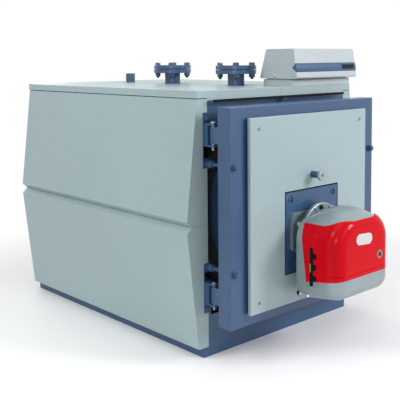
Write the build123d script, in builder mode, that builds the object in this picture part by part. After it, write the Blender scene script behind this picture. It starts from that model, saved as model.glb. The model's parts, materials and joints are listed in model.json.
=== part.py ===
from build123d import *
import math
import os

os.makedirs("parts", exist_ok=True)

# Industrial fire-tube boiler with a blown burner on its front door.
# Millimetres, +Z up, the door faces -Y. The origin is on the floor, at the middle of the whole boiler.
# Places along Y are given as a depth behind the casing's front, so pieces ahead of it have a negative depth.

# Sheets and plates
sheet = 2.0
plate_thickness = 10.0

# Boiler drum
drum_radius = 370.0
drum_wall = 10.0
floor_clearance = 145.0
insulation = 60.0
jacket_front = 55.0
tube_plate_depth = 60.0
tube_plate_thickness = 14.0
drum_length = 1074.0
furnace_drop = 87.0
furnace_leg = 83.0
furnace_wall = 8.0
furnace_dish = 60.0
furnace_rear_gap = 20.0
tube_radius = 28.5
tube_wall = 3.0
tube_edge = 21.5
tube_count = 12
tube_arc = 165.0
smoke_box_length = 128.0
smoke_box_wall = 4.0

# Flue and vent connections
flue_radius = 100.0
flue_wall = 3.0
flue_rise = 125.0
flue_length = 124.0
socket_radius = 24.0
socket_bore = 19.5
socket_thread = 30.0
socket_throat = 16.0
vent_set_back = 59.0
vent_stand = 46.0
pipe_clearance = 6.0

# Drain at the bottom of the drum
drain_radius = 20.0
drain_wall = 4.0
drain_bend = 45.0
drain_set_back = 90.0
drain_drop = 95.0
drain_tail = 42.0
drain_cap_flats = 56.0
drain_cap_length = 22.0

# Water flanges, DN 65
supply_clearance = 22.2
return_depth = 724.0
flange_stand = 53.0
flange_radius = 92.5
flange_thickness = 18.0
flange_pipe_radius = 38.05
flange_pipe_wall = 3.6
blind_chamfer = 1.5
bolt_edge = 20.0
bolt_hole = 18.0
bolt_count = 4
gasket_thickness = 2.0
gasket_margin = 2.5

# Base and end frames
rail_height = 60.0
rail_flange = 50.0
rail_wall = 5.0
base_set_in = 28.0
base_rear_gap = 37.0
frame_strip = 41.0
plate_slot_strip = 8.0
plate_opening_drop = 405.0
plate_opening_rise = 357.0
saddle_thickness = 10.0
saddle_set_in = 26.0
saddle_drop = 275.0
saddle_shoulder = 70.0
saddle_front_depth = 150.0
saddle_rear_gap = 134.0
lug_width = 14.0
lug_height = 20.0
lug_reach = 28.0
lug_nose = 8.0

# Side casing, folded out to a knee and back to a V groove
side_clearance = 54.0
top_clearance = 35.0
casing_tail = 25.0
knee_out = 56.0
groove_out = 32.0
groove_half_height = 23.0
panel_joint = 1.0
panel_overlap = 19.0
fold_radius = 3.0
return_width = 53.0
notch_width = 23.0
notch_reach = 85.0
notch_margin = 2.0

# Top cover
cover_side = 1.0
cover_overhang = 8.0
cover_gap = 3.0
cover_thickness = 30.0
cover_lip = 10.0
cover_seam = 1.0
rail_width = 42.0

# Control panel on its riser
housing_width = 422.0
housing_overhang = 3.0
riser_set_in = 10.0
riser_side = 7.0
riser_rear = 172.0
riser_height = 28.0
riser_top_gap = 4.0
housing_height = 135.0
housing_front = -37.0
housing_rear = 185.0
housing_top_front = -15.0
housing_top_rear = 146.0
housing_round = 7.0
groove_low = 33.0
groove_apex = 51.0
groove_high = 72.0
groove_apex_depth = -8.0
strip_crown = 4.0
recess_width = 88.0
recess_right = 16.0
recess_height = 14.0
recess_depth = 8.0

# Door
door_side = 85.0
door_drop = 56.0
door_rise = 68.0
door_back = -86.0
door_thickness = 65.0
door_wall = 6.0
door_round = 4.0
plug_clearance = 25.0
plug_depth = 66.0
plug_round = 12.0
seal_thickness = 9.7
seal_clearance = 0.3
casing_side = 86.5
casing_drop = 45.5
casing_rise = 44.0
casing_thickness = 15.0
casing_stand_off = 10.0
stud_radius = 8.0
stud_side = 52.0
stud_end = 48.0

# Hinges
hinge_edge = 15.0
hinge_stand_off = 41.0
lower_hinge_height = 118.0
upper_hinge_drop = 112.0
hinge_eye_radius = 12.0
hinge_eye_height = 66.0
fork_gap = 5.0
fork_thickness = 8.0
fork_radius = 14.0
fork_web = 17.5
foot_height = 26.0
foot_thickness = 8.0
pin_radius = 7.0
pin_clearance = 0.3
pin_overhang = 14.0
pin_head_radius = 11.0
pin_head_height = 7.0
pin_head_round = 4.0

# Clamp bolts and bosses
clamp_edge = 25.0
lower_clamp_height = 219.0
upper_clamp_drop = 230.0
clamp_radius = 8.0
clamp_clearance = 1.0
clamp_nut_flats = 24.0
clamp_nut_height = 14.0
clamp_nut_end = 6.0
boss_radius = 15.0
boss_front = -30.0
boss_chamfer = 2.0
boss_margin = 6.0
clamp_tip_clearance = 0.3

# Burner plate, blast tube and flange
burner_plate_half = 165.0
burner_plate_thickness = 25.0
burner_bolt_edge = 30.0
burner_recess_radius = 14.0
burner_recess_depth = 5.0
plate_gap = 6.0
blast_radius = 70.0
blast_wall = 4.0
blast_tip = 130.0
diffuser_set_in = 12.0
diffuser_thickness = 3.0
diffuser_slots = 10
diffuser_slot = (26.0, 7.0)
diffuser_slot_circle = 42.0
nozzle_radius = 12.0
nozzle_length = 34.0
mount_half_width = 138.0
mount_half_height = 80.0
mount_corner = 20.0
mount_thickness = 14.0
mount_rim = 9.0
mount_recess = 7.0
burner_flange_radius = 113.0
burner_flange_thickness = 14.0
burner_flange_round = 4.0
flange_slot = (16.0, 7.0)
flange_slot_circle = 98.0
flange_slot_angle = 27.0

# Burner: an aluminium housing with a domed back, and a hood over its front
burner_gap = 38.0
burner_length = 210.0
burner_half_width = 172.5
burner_shift = 12.5
burner_front_rise = 30.0
burner_drop = 260.0
burner_rise = 91.0
burner_shoulder = 112.0
burner_corner = 60.0
burner_round = 52.0
hood_wall = 5.0
hood_rear_top = 15.0
hood_rear_low = 49.0
hood_drop = 176.0
hood_lip_rise = 26.0
hood_fluting_drop = 133.0
fluting_width = 5.0
fluting_depth = 2.5
fluting_start = 147.0
seam_end = 104.0
seam_width = 1.6
dome_half_width = 144.0
dome_front_gap = 13.0
dome_corner = 92.0
dome_crown = 110.0
dome_end = 75.0
dome_shoulder = 55.0
dome_base = 20.0
dome_sections = 5
strip_width = 15.0
strip_length = 154.0
strip_middle = 111.0
strip_set_back = 77.0
strip_stand = 2.5
knob_radius = 11.0
knob_stand = 6.0
knob_pitch = 44.0
knob_set_back = 90.0
peep_radius = 17.0
peep_x = 108.0
peep_drop = 83.0

# Sight glass above the burner
sight_rise = 226.0
sight_radius = 14.0
sight_length = 42.0
sight_ring_radius = 22.0
sight_ring_thickness = 12.0
sight_round = 3.0

# Places worked out from the sizes above
jacket_radius = drum_radius + insulation
drum_height = floor_clearance + jacket_radius
drum_rear = tube_plate_depth + drum_length
smoke_box_rear = drum_rear + smoke_box_length
flue_end = smoke_box_rear + flue_length
flue_height = drum_height + flue_rise
vent_depth = drum_rear - vent_set_back
drain_depth = drum_rear - drain_set_back
furnace_height = drum_height - furnace_drop
furnace_radius = drum_radius - drum_wall - furnace_leg - furnace_drop
furnace_end = drum_rear - tube_plate_thickness - furnace_rear_gap - furnace_dish
tube_circle = drum_radius - drum_wall - tube_edge - tube_radius
tube_start = (180.0 - tube_arc) / 2
tube_step = tube_arc / (tube_count - 1)
tube_angles = [tube_start + tube_step * turn for turn in range(tube_count)]
tube_centres = [
    (
        tube_circle * math.cos(math.radians(angle)),
        drum_height + tube_circle * math.sin(math.radians(angle)),
    )
    for angle in tube_angles
]

casing_length = smoke_box_rear + casing_tail
casing_half_width = jacket_radius + side_clearance
knee_half_width = casing_half_width + knee_out
groove_half_width = casing_half_width + groove_out
opening_half_width = casing_half_width - return_width
notch_half_width = opening_half_width + notch_width
panel_bottom = rail_height - panel_overlap
panel_top = drum_height + jacket_radius + top_clearance
groove_height = (panel_bottom + panel_top) / 2
cover_half_width = casing_half_width + cover_side
cover_underside = panel_top + cover_gap
cover_top = cover_underside + cover_thickness

base_half_width = casing_half_width - base_set_in
base_rear = casing_length - base_rear_gap
plate_opening_half_width = base_half_width - frame_strip
plate_opening_bottom = drum_height - plate_opening_drop
plate_opening_top = drum_height + plate_opening_rise
plate_rear_face = casing_length - sheet
saddle_top = drum_height - saddle_drop
saddle_half_width = base_half_width - saddle_set_in
saddle_depths = (saddle_front_depth, drum_rear - saddle_rear_gap)

housing_right = casing_half_width + housing_overhang
housing_left = housing_right - housing_width
riser_left = housing_left + riser_set_in
riser_right = housing_right - riser_side
riser_top = cover_top + riser_height
vent_top = cover_top + vent_stand
housing_side_offset = min(max(housing_left, 0.0), flange_radius)
supply_reach = math.sqrt(flange_radius**2 - housing_side_offset**2)
supply_depth = housing_rear + supply_clearance + supply_reach
flange_depths = {"supply": supply_depth, "return": return_depth}
flange_underside = cover_top + flange_stand
flange_top = flange_underside + flange_thickness
bolt_circle_radius = flange_radius - bolt_edge
gasket_radius = bolt_circle_radius - bolt_hole / 2 - gasket_margin

door_half_width = drum_radius + door_side
door_bottom = drum_height - drum_radius - door_drop
door_top = drum_height + drum_radius + door_rise
door_height = door_top - door_bottom
door_middle = (door_top + door_bottom) / 2
door_front = door_back - door_thickness
collar_front = door_back + seal_thickness + seal_clearance
plug_radius = drum_radius - drum_wall - plug_clearance
casing_half = door_half_width - casing_side
casing_bottom = door_bottom + casing_drop
casing_top = door_top - casing_rise
door_casing_back = door_front - casing_stand_off
door_casing_front = door_casing_back - casing_thickness

hinge_x = hinge_edge - door_half_width
hinge_depth = door_back + hinge_stand_off
hinge_heights = {"lower": door_bottom + lower_hinge_height, "upper": door_top - upper_hinge_drop}
fork_half = hinge_eye_height / 2 + fork_gap
clamp_x = door_half_width - clamp_edge
clamp_heights = {"lower": door_bottom + lower_clamp_height, "upper": door_top - upper_clamp_drop}
plate_slot_half_width = base_half_width - plate_slot_strip
plate_slot_bottom = hinge_heights["lower"] + fork_half + fork_thickness
plate_slot_top = hinge_heights["upper"] - fork_half - fork_thickness
tab_middle = base_half_width - frame_strip / 2
clamp_places = [(side * clamp_x, height) for side in (-1, 1) for height in clamp_heights.values()]

plate_front = door_front - burner_plate_thickness
mount_front = plate_front - mount_thickness
burner_back = mount_front - burner_gap
burner_front = burner_back - burner_length
burner_bottom = furnace_height - burner_drop
burner_crown = furnace_height + burner_rise
hood_front_lip = furnace_height - hood_drop + hood_lip_rise
burner_left = burner_shift - burner_half_width
burner_front_bottom = burner_bottom + burner_front_rise
dome_front = burner_front + dome_front_gap
sight_height = furnace_height + sight_rise
casing_front = (-burner_front - flue_end) / 2


def upright(depth):
    """The plane that faces the front, at a depth behind the casing's front."""
    return Plane.XZ.offset(-(casing_front + depth))


def level(height):
    """The horizontal plane at a height above the floor, with its origin at the casing's front."""
    return Plane(origin=(0, casing_front, height), z_dir=(0, 0, 1), x_dir=(1, 0, 0))


def side_view(x):
    """The plane across the boiler at a distance from its middle, drawn by depth and height."""
    return Plane(origin=(x, casing_front, 0), x_dir=(0, 1, 0), z_dir=(1, 0, 0))


def save(piece, name):
    """Labels a finished piece and writes it."""
    piece.part.label = name
    export_step(piece.part, f"parts/{name}.step")


# Base rails: channels with the open side inwards
for side, name in ((-1, "base_rail_left"), (1, "base_rail_right")):
    with BuildPart() as base_rail:
        with BuildSketch(upright(plate_thickness + sheet)) as rail_outline:
            with Locations((side * (base_half_width - rail_flange / 2), rail_height / 2)):
                Rectangle(rail_flange, rail_height)
            with Locations((side * (base_half_width - rail_wall - rail_flange / 2), rail_height / 2)):
                Rectangle(rail_flange, rail_height - 2 * rail_wall, mode=Mode.SUBTRACT)
        extrude(amount=-(base_rear - plate_thickness - sheet))
    save(base_rail, name)

# Front plate: runs from the floor to the cover, cut out round the drum, with a lug over the door
lug_top = cover_underside - cover_lip
with BuildPart() as front_plate:
    with BuildSketch(upright(sheet + plate_thickness)) as plate_outline:
        with Locations((0, (panel_top - sheet) / 2)):
            Rectangle(2 * base_half_width, panel_top - sheet)
        with Locations((0, (plate_opening_bottom + plate_opening_top) / 2)):
            Rectangle(
                2 * plate_opening_half_width, plate_opening_top - plate_opening_bottom, mode=Mode.SUBTRACT
            )
        with Locations((0, (plate_slot_bottom + plate_slot_top) / 2)):
            Rectangle(2 * plate_slot_half_width, plate_slot_top - plate_slot_bottom, mode=Mode.SUBTRACT)
        with Locations(*[(math.copysign(tab_middle, x), height) for x, height in clamp_places]):
            Rectangle(frame_strip, 2 * (boss_radius + boss_margin))
        with Locations((0, drum_height)):
            Circle(drum_radius, mode=Mode.SUBTRACT)
    extrude(amount=plate_thickness)
    with BuildSketch(side_view(-lug_width / 2)) as lug_outline:
        with Locations((sheet - lug_reach / 2, lug_top - lug_height / 2)):
            Rectangle(lug_reach, lug_height)
        fillet(lug_outline.vertices().group_by(Axis.X)[0], radius=lug_nose)
    extrude(amount=lug_width)
save(front_plate, "front_plate")

# Rear frame: two posts on the rails and a beam between the rails
post_width = base_half_width - plate_opening_half_width
post_front = plate_rear_face - plate_thickness
for side, name in ((-1, "rear_post_left"), (1, "rear_post_right")):
    with BuildPart() as rear_post:
        with BuildSketch(upright(plate_rear_face)) as post_outline:
            with Locations((side * (base_half_width - post_width / 2), (panel_top - sheet) / 2)):
                Rectangle(post_width, panel_top - sheet)
        extrude(amount=plate_rear_face - base_rear)
    save(rear_post, name)

with BuildPart() as rear_beam:
    with BuildSketch(upright(base_rear)) as beam_outline:
        with Locations((0, rail_height / 2)):
            Rectangle(2 * (base_half_width - rail_flange), rail_height)
    extrude(amount=plate_thickness)
save(rear_beam, "rear_beam")

# Saddles that carry the drum on the rails
for depth, name in zip(saddle_depths, ("saddle_front", "saddle_rear")):
    with BuildPart() as saddle:
        with BuildSketch(upright(depth + saddle_thickness)) as saddle_outline:
            with BuildLine():
                Polyline(
                    (-saddle_half_width, rail_height),
                    (saddle_half_width, rail_height),
                    (drum_radius - saddle_shoulder, saddle_top),
                    (saddle_shoulder - drum_radius, saddle_top),
                    close=True,
                )
            make_face()
            with Locations((0, drum_height)):
                Circle(drum_radius, mode=Mode.SUBTRACT)
        extrude(amount=saddle_thickness)
    save(saddle, name)

# Drum shell, with its front collar round the door's plug
with BuildPart() as drum_shell:
    with BuildSketch(upright(drum_rear)) as drum_ring:
        with Locations((0, drum_height)):
            Circle(drum_radius)
            Circle(drum_radius - drum_wall, mode=Mode.SUBTRACT)
    extrude(amount=drum_rear - collar_front)
save(drum_shell, "drum_shell")

# Insulation jacket round the drum, cut for the saddles and the connections
with BuildPart() as jacket:
    with BuildSketch(upright(drum_rear)) as jacket_ring:
        with Locations((0, drum_height)):
            Circle(jacket_radius)
            Circle(drum_radius, mode=Mode.SUBTRACT)
    extrude(amount=drum_rear - jacket_front)
    for depth in saddle_depths:
        with BuildSketch(upright(depth + saddle_thickness)) as saddle_slot:
            with Locations((0, (rail_height + saddle_top) / 2)):
                Rectangle(2 * saddle_half_width, saddle_top - rail_height)
        extrude(amount=saddle_thickness, mode=Mode.SUBTRACT)
    with BuildSketch(level(drum_height)) as pipe_holes:
        with Locations(*[(0, depth) for depth in flange_depths.values()]):
            Circle(flange_pipe_radius)
        with Locations((0, vent_depth)):
            Circle(socket_radius)
    extrude(amount=jacket_radius, mode=Mode.SUBTRACT)
    with BuildSketch(level(drum_height)) as drain_hole:
        with Locations((0, drain_depth)):
            Circle(drain_radius + pipe_clearance)
    extrude(amount=-jacket_radius, mode=Mode.SUBTRACT)
save(jacket, "insulation_jacket")

# Tube plates
tube_plate_places = {"front": tube_plate_depth, "rear": drum_rear - tube_plate_thickness}
for name, depth in tube_plate_places.items():
    with BuildPart() as tube_plate:
        with BuildSketch(upright(depth + tube_plate_thickness)) as tube_plate_outline:
            with Locations((0, drum_height)):
                Circle(drum_radius - drum_wall)
            with Locations(*tube_centres):
                Circle(tube_radius, mode=Mode.SUBTRACT)
            if name == "front":
                with Locations((0, furnace_height)):
                    Circle(furnace_radius, mode=Mode.SUBTRACT)
        extrude(amount=tube_plate_thickness)
    save(tube_plate, f"{name}_tube_plate")

# Smoke tubes between the tube plates
with BuildPart() as smoke_tubes:
    with BuildSketch(upright(drum_rear)) as tube_rings:
        with Locations(*tube_centres):
            Circle(tube_radius)
            Circle(tube_radius - tube_wall, mode=Mode.SUBTRACT)
    extrude(amount=drum_rear - tube_plate_depth)
save(smoke_tubes, "smoke_tubes")

# Furnace: a blind tube with a dished end
furnace_axis = Axis((0, casing_front, furnace_height), (0, 1, 0))
furnace_section = Plane(origin=(0, casing_front, furnace_height), x_dir=(0, 1, 0), z_dir=(1, 0, 0))
with BuildPart() as furnace:
    with BuildSketch(furnace_section) as furnace_profile:
        with BuildLine():
            outer = Line((tube_plate_depth, furnace_radius), (furnace_end, furnace_radius))
            dish = EllipticalCenterArc(
                (furnace_end, 0), furnace_dish, furnace_radius, start_angle=0, arc_size=90
            )
            middle = Line((furnace_end + furnace_dish, 0), (furnace_end + furnace_dish - furnace_wall, 0))
            inner_dish = EllipticalCenterArc(
                (furnace_end, 0),
                furnace_dish - furnace_wall,
                furnace_radius - furnace_wall,
                start_angle=0,
                arc_size=90,
            )
            inner = Line(
                (furnace_end, furnace_radius - furnace_wall),
                (tube_plate_depth, furnace_radius - furnace_wall),
            )
            rim = Line((tube_plate_depth, furnace_radius - furnace_wall), (tube_plate_depth, furnace_radius))
        make_face()
    revolve(axis=furnace_axis)
save(furnace, "furnace")

# Smoke box behind the rear tube plate, with the flue spigot on its back
with BuildPart() as smoke_box:
    with BuildSketch(upright(smoke_box_rear)) as smoke_box_disc:
        with Locations((0, drum_height)):
            Circle(drum_radius)
    extrude(amount=smoke_box_length)
    with BuildSketch(upright(smoke_box_rear - smoke_box_wall)) as smoke_box_inside:
        with Locations((0, drum_height)):
            Circle(drum_radius - drum_wall)
    extrude(amount=smoke_box_length - smoke_box_wall, mode=Mode.SUBTRACT)
    with BuildSketch(upright(smoke_box_rear)) as flue_outlet:
        with Locations((0, flue_height)):
            Circle(flue_radius - flue_wall)
    extrude(amount=smoke_box_wall, mode=Mode.SUBTRACT)
save(smoke_box, "smoke_box")

with BuildPart() as flue_spigot:
    with BuildSketch(upright(flue_end)) as spigot_ring:
        with Locations((0, flue_height)):
            Circle(flue_radius)
            Circle(flue_radius - flue_wall, mode=Mode.SUBTRACT)
    extrude(amount=flue_end - smoke_box_rear)
save(flue_spigot, "flue_spigot")

# Drain pipe: down from the drum and out through the rear panel, closed by a cap
drain_top = drum_height - drum_radius
drain_height = drain_top - drain_drop
drain_end = casing_length + sheet + drain_tail
with BuildPart() as drain_pipe:
    with BuildLine(side_view(0)) as drain_path:
        FilletPolyline(
            (drain_depth, drain_top + drum_wall),
            (drain_depth, drain_height),
            (drain_end, drain_height),
            radius=drain_bend,
        )
    with BuildSketch(level(drain_top + drum_wall)) as drain_section:
        with Locations((0, drain_depth)):
            Circle(drain_radius)
            Circle(drain_radius - drain_wall, mode=Mode.SUBTRACT)
    sweep()
    with BuildSketch(upright(drain_end + drain_cap_length)) as cap_outline:
        with Locations((0, drain_height)):
            RegularPolygon(drain_cap_flats / 2, 6, major_radius=False)
    extrude(amount=drain_cap_length)
    with BuildSketch(upright(drum_rear)) as drain_cut:
        with Locations((0, drum_height)):
            Circle(drum_radius)
    extrude(amount=drum_rear, mode=Mode.SUBTRACT)
save(drain_pipe, "drain_pipe")

# Side casing: an upper and a lower panel each side, folded out to a knee and back to a V groove
for side, side_name in ((-1, "left"), (1, "right")):
    for rise, half_name, edge in ((1, "upper", panel_top), (-1, "lower", panel_bottom)):
        with BuildPart() as side_panel:
            with BuildSketch(upright(casing_length)) as panel_profile:
                with BuildLine():
                    Polyline(
                        (side * opening_half_width, edge),
                        (side * casing_half_width, edge),
                        (side * knee_half_width, groove_height + rise * groove_half_height),
                        (side * groove_half_width, groove_height + rise * panel_joint / 2),
                        (side * opening_half_width, groove_height + rise * panel_joint / 2),
                        close=True,
                    )
                make_face()
                folds = panel_profile.vertices().filter_by(
                    lambda corner: abs(corner.X) > opening_half_width + fold_radius
                    and abs(abs(corner.X) - groove_half_width) > fold_radius
                )
                fillet(folds, radius=fold_radius)
            extrude(amount=casing_length)
            inner_faces = [
                side_panel.faces().sort_by(Axis.X)[0 if side > 0 else -1],
                side_panel.faces().filter_by(Axis.Z).sort_by(Axis.Z)[0 if rise > 0 else -1],
            ]
            offset(amount=-sheet, openings=inner_faces)
            notch_start = clamp_heights[half_name] - rise * (boss_radius + notch_margin)
            notch_end = hinge_heights[half_name] + rise * notch_reach
            with BuildSketch(upright(sheet)) as hinge_notch:
                with Locations((side * (opening_half_width + notch_half_width) / 2, (notch_start + notch_end) / 2)):
                    Rectangle(notch_half_width - opening_half_width, abs(notch_end - notch_start))
            extrude(amount=sheet, mode=Mode.SUBTRACT)
            with BuildSketch(upright(casing_length - sheet)) as rail_space:
                with Locations((side * (opening_half_width + base_half_width) / 2, panel_bottom + sheet / 2)):
                    Rectangle(base_half_width - opening_half_width, sheet)
            extrude(amount=casing_length - 2 * sheet, mode=Mode.SUBTRACT)
        save(side_panel, f"side_panel_{half_name}_{side_name}")

# Rear casing panel round the flue spigot
with BuildPart() as rear_panel:
    with BuildSketch(upright(casing_length + sheet)) as rear_outline:
        with Locations((0, (rail_height + panel_top) / 2)):
            Rectangle(2 * base_half_width, panel_top - rail_height)
        with Locations((0, flue_height)):
            Circle(flue_radius + pipe_clearance, mode=Mode.SUBTRACT)
        with Locations((0, drain_height)):
            Circle(drain_radius + pipe_clearance, mode=Mode.SUBTRACT)
    extrude(amount=sheet)
save(rear_panel, "rear_panel")

# Top cover in two halves, notched round the pipes, on a rail each side
for side, side_name in ((-1, "left"), (1, "right")):
    with BuildPart() as cover_rail:
        with BuildSketch(level(panel_top)) as rail_strip:
            with Locations((side * (casing_half_width - sheet - rail_width / 2), (casing_length + sheet) / 2)):
                Rectangle(rail_width, casing_length - sheet)
        extrude(amount=cover_top - sheet - panel_top)
    save(cover_rail, f"cover_rail_{side_name}")

    with BuildPart() as top_cover:
        with BuildSketch(level(cover_underside)) as cover_outline:
            with Locations((side * (cover_half_width + cover_seam / 2) / 2, (casing_length + cover_overhang) / 2)):
                Rectangle(cover_half_width - cover_seam / 2, casing_length + cover_overhang)
        extrude(amount=cover_thickness)
        outer_side = top_cover.faces().sort_by(Axis.X)[0 if side < 0 else -1]
        fillet(outer_side.edges().group_by(Axis.Z)[-1], radius=fold_radius)
        fillet(top_cover.edges().filter_by(Axis.X).group_by(Axis.Z)[-1], radius=fold_radius)
        offset(amount=-sheet, openings=top_cover.faces().sort_by(Axis.Z)[0])
        with BuildSketch(upright(sheet)) as lip_outline:
            with Locations((side * (opening_half_width + cover_seam / 2) / 2, cover_underside - cover_lip / 2)):
                Rectangle(opening_half_width - cover_seam / 2, cover_lip)
        extrude(amount=sheet)
        with BuildSketch(level(cover_underside)) as cover_holes:
            with Locations(*[(0, depth) for depth in flange_depths.values()]):
                Circle(flange_pipe_radius + pipe_clearance)
            with Locations((0, vent_depth)):
                Circle(socket_radius + pipe_clearance)
        extrude(amount=cover_thickness, mode=Mode.SUBTRACT)
    save(top_cover, f"top_cover_{side_name}")

# Water flanges on their pipes, each closed by a gasket and a blind flange
for name, depth in flange_depths.items():
    pipe_axis = Axis((0, casing_front + depth, 0), (0, 0, 1))
    with BuildPart() as nozzle:
        with BuildSketch(upright(depth)) as nozzle_profile:
            with BuildLine():
                Polyline(
                    (flange_pipe_radius - flange_pipe_wall, drum_height),
                    (flange_pipe_radius, drum_height),
                    (flange_pipe_radius, flange_underside),
                    (flange_radius, flange_underside),
                    (flange_radius, flange_top),
                    (flange_pipe_radius - flange_pipe_wall, flange_top),
                    close=True,
                )
            make_face()
        revolve(axis=pipe_axis)
        with BuildSketch(level(flange_underside)) as flange_holes:
            with Locations((0, depth)):
                with PolarLocations(bolt_circle_radius, bolt_count, start_angle=45):
                    Circle(bolt_hole / 2)
        extrude(amount=flange_thickness, mode=Mode.SUBTRACT)
        with BuildSketch(upright(drum_rear)) as drum_cut:
            with Locations((0, drum_height)):
                Circle(drum_radius)
        extrude(amount=drum_rear, mode=Mode.SUBTRACT)
    save(nozzle, f"{name}_flange")

    with BuildPart() as blind:
        with BuildSketch(level(flange_top + gasket_thickness)) as blind_outline:
            with Locations((0, depth)):
                Circle(flange_radius)
        extrude(amount=flange_thickness)
        chamfer(blind.edges(), length=blind_chamfer)
        with BuildSketch(level(flange_top + gasket_thickness)) as blind_holes:
            with Locations((0, depth)):
                with PolarLocations(bolt_circle_radius, bolt_count, start_angle=45):
                    Circle(bolt_hole / 2)
        extrude(amount=flange_thickness, mode=Mode.SUBTRACT)
    save(blind, f"{name}_blind_flange")

with BuildPart() as flange_gaskets:
    with BuildSketch(level(flange_top)) as gasket_rings:
        with Locations(*[(0, depth) for depth in flange_depths.values()]):
            Circle(gasket_radius)
            Circle(flange_pipe_radius - flange_pipe_wall, mode=Mode.SUBTRACT)
    extrude(amount=gasket_thickness)
save(flange_gaskets, "flange_gaskets")

# Vent socket on top: a threaded mouth over a narrower throat
with BuildPart() as vent_socket:
    with BuildSketch(level(drum_height)) as vent_outline:
        with Locations((0, vent_depth)):
            Circle(socket_radius)
            Circle(socket_throat, mode=Mode.SUBTRACT)
    extrude(amount=vent_top - drum_height)
    with BuildSketch(level(vent_top - socket_thread)) as thread_outline:
        with Locations((0, vent_depth)):
            Circle(socket_bore)
    extrude(amount=socket_thread, mode=Mode.SUBTRACT)
    with BuildSketch(upright(drum_rear)) as vent_cut:
        with Locations((0, drum_height)):
            Circle(drum_radius)
    extrude(amount=drum_rear, mode=Mode.SUBTRACT)
save(vent_socket, "vent_socket")

# Control panel: a riser on the cover, and a housing with a V groove that holds the instrument strip
with BuildPart() as panel_riser:
    with BuildSketch(level(cover_top)) as riser_outline:
        with Locations(((riser_left + riser_right) / 2, riser_rear / 2)):
            Rectangle(riser_right - riser_left, riser_rear)
    extrude(amount=riser_height)
    fillet(panel_riser.edges().filter_by(Axis.Z), radius=fold_radius)
save(panel_riser, "panel_riser")


def slope_depth(height):
    """Depth of the housing's sloping front at a height above the riser."""
    return housing_front + (housing_top_front - housing_front) * height / housing_height


groove_points = [
    (slope_depth(groove_low), riser_top + groove_low),
    (groove_apex_depth, riser_top + groove_apex),
    (slope_depth(groove_high), riser_top + groove_high),
]
strip_front = (slope_depth(groove_apex) - strip_crown, riser_top + groove_apex)
with BuildPart() as control_housing:
    with BuildSketch(side_view(housing_left)) as housing_profile:
        with BuildLine():
            Polyline(
                (housing_front, riser_top + riser_top_gap),
                *groove_points,
                (housing_top_front, riser_top + housing_height),
                (housing_top_rear, riser_top + housing_height),
                (housing_rear, riser_top + riser_top_gap),
                close=True,
            )
        make_face()
        ends = housing_profile.vertices()
        fillet(ends.group_by(Axis.Y)[0] + ends.group_by(Axis.Y)[-1], radius=housing_round)
    extrude(amount=housing_width)
    with BuildSketch(level(riser_top)) as base_outline:
        with Locations(((riser_left + riser_right) / 2, riser_rear / 2)):
            Rectangle(riser_right - riser_left - 2 * riser_set_in, riser_rear - 2 * riser_set_in)
    extrude(amount=riser_top_gap)
save(control_housing, "control_housing")

with BuildPart() as control_strip:
    with BuildSketch(side_view(housing_left)) as strip_profile:
        with BuildLine():
            Polyline(*groove_points)
            ThreePointArc(groove_points[-1], strip_front, groove_points[0])
        make_face()
    extrude(amount=housing_width)
    with BuildSketch(upright(strip_front[0] + recess_depth)) as recess_outline:
        with Locations((housing_right - recess_right - recess_width / 2, riser_top + groove_apex)):
            Rectangle(recess_width, recess_height)
    extrude(amount=recess_depth, mode=Mode.SUBTRACT)
save(control_strip, "control_strip")

# Fixed hinge brackets: a web on a foot on the front plate, with a fork of two plates
for name, height in hinge_heights.items():
    outward = 1 if name == "upper" else -1
    fork_bottom = height - fork_half - fork_thickness
    fork_height = 2 * (fork_half + fork_thickness)
    with BuildPart() as bracket:
        with BuildSketch(level(fork_bottom)) as fork_outline:
            with Locations((hinge_x, hinge_depth)):
                Circle(fork_radius)
            with Locations((hinge_x, (hinge_depth + sheet) / 2)):
                Rectangle(2 * fork_radius, sheet - hinge_depth)
        extrude(amount=fork_height)
        with BuildSketch(level(height - fork_half)) as fork_slot:
            with Locations((hinge_x, hinge_depth + (fork_web - fork_radius) / 2)):
                Rectangle(2 * fork_radius, fork_web + fork_radius)
        extrude(amount=2 * fork_half, mode=Mode.SUBTRACT)
        with BuildSketch(upright(sheet)) as foot_outline:
            with Locations((hinge_x, height + outward * foot_height / 2)):
                Rectangle(2 * fork_radius, fork_height + foot_height)
            fillet(foot_outline.vertices(), radius=foot_thickness)
        extrude(amount=foot_thickness)
        with BuildSketch(level(fork_bottom)) as pin_bore:
            with Locations((hinge_x, hinge_depth)):
                Circle(pin_radius)
        extrude(amount=fork_height, mode=Mode.SUBTRACT)
    save(bracket, f"hinge_bracket_{name}")

with BuildPart() as hinge_pins:
    for height in hinge_heights.values():
        pin_seat = height + fork_half + fork_thickness
        pin_length = 2 * (fork_half + fork_thickness) + pin_overhang
        with BuildSketch(level(pin_seat)) as pin_outline:
            with Locations((hinge_x, hinge_depth)):
                Circle(pin_radius)
        extrude(amount=-pin_length)
        with BuildSketch(level(pin_seat)) as head_outline:
            with Locations((hinge_x, hinge_depth)):
                Circle(pin_head_radius)
        extrude(amount=pin_head_height)
    fillet(hinge_pins.edges().filter_by(GeomType.CIRCLE).group_by(Axis.Z)[-1], radius=pin_head_round)
save(hinge_pins, "hinge_pins")

# Hinge arms welded to the door's back
with BuildPart() as hinge_arms:
    for height in hinge_heights.values():
        with BuildSketch(level(height - hinge_eye_height / 2)) as arm_outline:
            with Locations((hinge_x, hinge_depth)):
                Circle(hinge_eye_radius)
            with Locations((hinge_x, (hinge_depth + door_back) / 2)):
                Rectangle(2 * hinge_eye_radius, hinge_depth - door_back)
            with Locations((hinge_x, hinge_depth)):
                Circle(pin_radius + pin_clearance, mode=Mode.SUBTRACT)
        extrude(amount=hinge_eye_height)
save(hinge_arms, "hinge_arms")

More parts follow.
